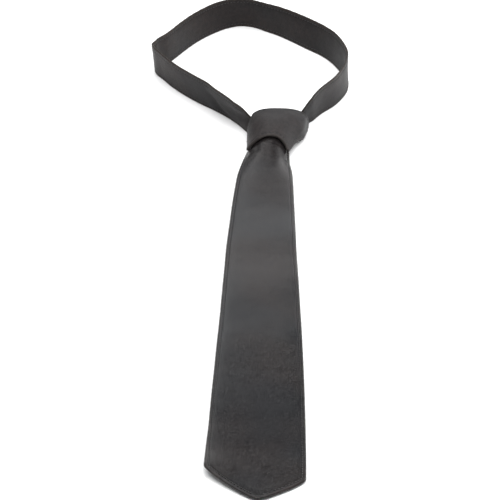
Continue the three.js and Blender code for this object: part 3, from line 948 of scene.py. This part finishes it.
def dye_wear_and_groove_shade(shader, tone, cool, warm, worn):
    """The leather's colour: mottled dye, rubbed bare outside the seam, with a painted shade line along the
    stitch groove.
    """
    edge = shader.add("Attribute", attribute_name="edge").outputs["Fac"]
    mottle = shader.patches(*MOTTLE_PATCHES, to_high=MOTTLE_SHARE)
    dye = shader.mix(mottle, shader.mix(tone, colour(cool), colour(warm)), colour(MOTTLE_DARK))
    at_edge = shader.spread(edge, *RUBBED_EDGE, 1.0, 0.0)
    rub = shader.times(at_edge, shader.patches(*RUB_PATCHES, to_low=LEAST_RUB))
    rubbed = shader.mix(rub, dye, colour(worn))
    # Painted shade: a dark line along the stitch groove, darkest at the seam
    before_seam = shader.spread(edge, SEAM_INSET - GROOVE_SHADE, SEAM_INSET, to_high=GROOVE_SHADE_STRENGTH)
    after_seam = shader.spread(edge, SEAM_INSET, SEAM_INSET + GROOVE_SHADE, 1.0, 0.0)
    return shader.mix(shader.times(before_seam, after_seam), rubbed, colour(GROOVE_PAINTED_SHADE))


def leather_grain(shader):
    """The leather's normal: a soft crumple, pebbles on it and pores on those."""
    crumple = shader.bump(shader.noise(*CRUMPLE_NOISE), *CRUMPLE_RELIEF)
    inputs = {"Vector": shader.coordinates, "Scale": PEBBLES_PER_METRE, "Randomness": PEBBLE_RANDOMNESS}
    cells = shader.add("TexVoronoi", inputs, feature="DISTANCE_TO_EDGE").outputs["Distance"]
    pebbles = shader.bump(shader.spread(cells, 0.0, PEBBLE_RIM), *PEBBLE_RELIEF, crumple)
    return shader.bump(shader.noise(*PORE_NOISE), *PORE_RELIEF, pebbles)


def leather_highlight(shader, tone):
    """Tint of the leather's highlights, which is cool or warm as the dye is, and dimmer in patches."""
    tint = shader.mix(tone, colour(COOL_HIGHLIGHT), colour(WARM_HIGHLIGHT))
    return shader.mix(shader.patches(*DIM_PATCHES, to_high=DIM_SHARE), tint, colour(DIM_HIGHLIGHT))


def leather(name, cool, warm, worn, roughness):
    """Dyed leather with a pebble grain, an uneven gloss and painted shade along its stitch groove."""
    shader = Shader(name)
    tone = shader.patches(*TONE_PATCHES)
    smoothest, roughest = roughness - GLOSS_VARIATION, roughness + GLOSS_VARIATION
    return shader.surface({
        "Base Color": dye_wear_and_groove_shade(shader, tone, cool, warm, worn),
        "Roughness": shader.patches(*GLOSS_PATCHES, smoothest, roughest),
        "Normal": leather_grain(shader),
        "Specular Tint": leather_highlight(shader, tone),
        "Specular IOR Level": 0.31,
        "IOR": 1.4,
        "Sheen Weight": 0.01,
        "Sheen Roughness": 0.5,
        "Sheen Tint": colour(FUZZ_TINT),
    })


def thread():
    """Waxed sewing thread with a fine twist."""
    shader = Shader("thread")
    twist = shader.noise(*TWIST_NOISE)
    tone = shader.spread(twist, *TWIST_RANGE)
    return shader.surface({
        "Base Color": shader.mix(tone, colour(THREAD_DARK), colour(THREAD_LIGHT)),
        "Roughness": 0.55,
        "Normal": shader.bump(twist, *TWIST_RELIEF),
        "Specular IOR Level": 0.4,
    })


def pale_floor():
    """A dull, nearly white board."""
    shader = Shader("pale_floor")
    tone = shader.noise(*FLOOR_NOISE)
    return shader.surface({
        "Base Color": shader.mix(tone, colour(FLOOR_DARK), colour(FLOOR_LIGHT)),
        "Roughness": 0.7,
        "Specular IOR Level": 0.2,
    })


# Floor, lights and camera, in metres in the frame

FLOOR_HALF = 4
SURROUND_COLOUR = (0.96, 0.98, 1.0)
SURROUND_STRENGTH = 0.24
CAMERA_PLACE = (-0.00026, -2.03416, 1.3121)
CAMERA_TILT = 57           # degrees up from looking straight down
CAMERA_LENS = 252          # focal length in millimetres
CAMERA_SENSOR = 36         # width of its sensor in millimetres
CAMERA_REACH = 50          # how far it sees

# Place, the point it faces, width and height, brightness of its surface and roll in degrees
LIGHTS = {
    "top_light": ((0.0, -0.15, 1.9), (0.0, 0.0, 0.0), (2.6, 2.2), 3.5, 0),
    "front_light": ((0.0, -1.5, 2.0), (0.0, 0.0, 0.0), (2.4, 1.4), 1.7, 0),
    "high_light": ((0.2, 2.0, 3.0), (0.0, 0.1, 0.0), (1.8, 1.3), 1.8, 0),
    "back_light": ((0.001, 0.5, 0.278), (0.001, 0.0, 0.278), (0.75, 0.175), 2.6, 25),
    "right_light": ((0.66, 0.25, 0.3), (0.034, 0.128, 0.015), (0.58, 0.45), 4.2, 0),
    "left_light": ((-0.2, 0.5, 0.1), (0.0, 0.1, 0.01), (0.3, 0.15), 0.8, 0),
}


def add_floor():
    """The board that the tie lies on."""
    corners = [(x * FLOOR_HALF, y * FLOOR_HALF, 0) for x, y in ((-1, -1), (1, -1), (1, 1), (-1, 1))]
    mesh = bpy.data.meshes.new("floor")
    mesh.from_pydata(corners, [], [(0, 1, 2, 3)])
    mesh.materials.append(pale_floor())
    floor = bpy.data.objects.new("floor", mesh)
    bpy.context.collection.objects.link(floor)


def add_light(name, place, towards, size, brightness, roll):
    """A soft rectangular light that the camera doesn't see."""
    light = bpy.data.lights.new(name, "AREA")
    light.shape = "RECTANGLE"
    light.size, light.size_y = size
    light.energy = brightness * math.pi * size[0] * size[1]
    panel = bpy.data.objects.new(name, light)
    panel.location = place
    aim = (Vector(towards) - Vector(place)).to_track_quat("-Z", "Y").to_matrix()
    panel.rotation_euler = (aim @ Matrix.Rotation(math.radians(roll), 3, "Z")).to_euler()
    panel.visible_camera = False
    bpy.context.collection.objects.link(panel)


def add_surround():
    """The even light that comes from all sides."""
    world = bpy.data.worlds.new("studio")
    world.use_nodes = True
    background = world.node_tree.nodes["Background"]
    background.inputs["Color"].default_value = colour(SURROUND_COLOUR)
    background.inputs["Strength"].default_value = SURROUND_STRENGTH
    bpy.context.scene.world = world


def add_camera():
    """The photo's view, through a long lens."""
    camera = bpy.data.cameras.new("camera")
    camera.lens = CAMERA_LENS
    camera.sensor_width = CAMERA_SENSOR
    camera.clip_end = CAMERA_REACH
    holder = bpy.data.objects.new("camera", camera)
    holder.location = CAMERA_PLACE
    holder.rotation_euler = (math.radians(CAMERA_TILT), 0, 0)
    bpy.context.collection.objects.link(holder)
    bpy.context.scene.camera = holder


# The scene

materials = {slot: leather(slot, *look) for slot, look in LEATHERS.items()}
materials["thread"] = thread()

make_blade()
make_tail()
make_band()
make_wrap()
make_turn()

add_floor()
add_surround()
for light_name, light_setting in LIGHTS.items():
    add_light(light_name, *light_setting)
add_camera()
bpy.context.scene.view_settings.view_transform = "Standard"
